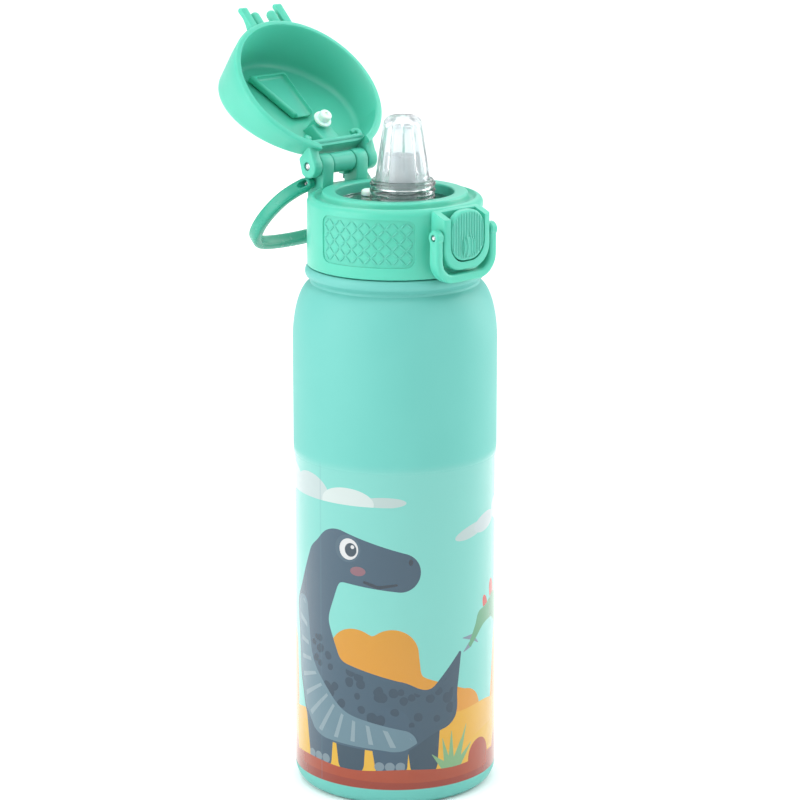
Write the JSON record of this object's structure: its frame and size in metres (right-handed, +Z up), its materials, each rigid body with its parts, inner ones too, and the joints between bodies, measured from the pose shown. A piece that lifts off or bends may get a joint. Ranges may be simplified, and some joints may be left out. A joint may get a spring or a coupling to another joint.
{
  "type": "kids water bottle",
  "caption": "Slim insulated steel bottle for a child, with a screw lid, sprung flip cap, soft drinking spout, lock bail and carry loop.",
  "frame": {"origin": "centre of the base, on the surface the bottle stands on", "axes": "+Z up along the bottle; the latch faces -Y and the cap's hinge is at +Y, with its pin along X"},
  "size_m": [0.073, 0.1192, 0.2757],
  "materials": {
    "powder_coat": "matte powder coat with a glossy printed picture round the lower half",
    "steel": "satin drawn stainless steel",
    "pin_steel": "bright drawn steel",
    "mint_plastic": "satin moulded plastic",
    "handle_plastic": "smooth satin plastic",
    "clear_plastic": "clear polished plastic",
    "clear_silicone": "clear soft silicone",
    "milky_plastic": "milky translucent plastic",
    "white_silicone": "soft white silicone"
  },
  "bodies": {
    "bottle": {"outer_shell": "powder_coat", "inner_liner": "steel", "base_plate": "powder_coat"},
    "gasket": {"lid_gasket": "white_silicone"},
    "lid": {"lid_collar": "mint_plastic", "clear_insert": "clear_plastic", "spout_nut": "clear_plastic", "silicone_spout": "clear_silicone", "spout_stem": "milky_plastic", "straw_tube": "milky_plastic", "vent_valve": "white_silicone", "hinge_pin": "pin_steel", "hinge_barrel": "mint_plastic", "hinge_spring": "pin_steel", "latch_pin": "pin_steel", "latch_spring": "pin_steel", "handle_pin_left": "pin_steel", "handle_pin_right": "pin_steel"},
    "cap": {"cap_shell": "mint_plastic", "spout_presser": "mint_plastic", "vent_plug": "white_silicone"},
    "button": {"latch_button": "mint_plastic"},
    "bail": {"lock_bail": "mint_plastic"},
    "handle": {"carry_handle": "handle_plastic"}
  },
  "joints": [
    {"name": "lid_lift", "type": "slide", "parent": "bottle", "child": "gasket", "axis": [0, 0, 1], "range_m": [0, 0.00675]},
    {"name": "lid_spin", "type": "hinge", "parent": "gasket", "child": "lid", "pos_m": [0, 0, 0.2], "axis": [0, 0, 1], "range_deg": [0, 540]},
    {"name": "cap_hinge", "type": "hinge", "parent": "lid", "child": "cap", "pos_m": [0, 0.0295, 0.2239], "axis": [1, 0, 0], "range_deg": [0, 135], "stiffness_Nm_per_rad": 0.012, "deforming": ["silicone_spout", "spout_stem"]},
    {"name": "button_press", "type": "hinge", "parent": "lid", "child": "button", "pos_m": [0, -0.0347, 0.2071], "axis": [1, 0, 0], "range_deg": [0, 6], "stiffness_Nm_per_rad": 0.05, "deforming": ["latch_spring"]},
    {"name": "bail_swing", "type": "hinge", "parent": "lid", "child": "bail", "pos_m": [0, -0.0347, 0.2071], "axis": [-1, 0, 0], "range_deg": [0, 172]},
    {"name": "handle_swing", "type": "hinge", "parent": "lid", "child": "handle", "pos_m": [0, 0.0315, 0.2174], "axis": [1, 0, 0], "range_deg": [-34, 55]}
  ],
  "couplings": [
    {"joint": "lid_lift", "follows": "lid_spin", "m_per_rad": 0.0007162}
  ]
}
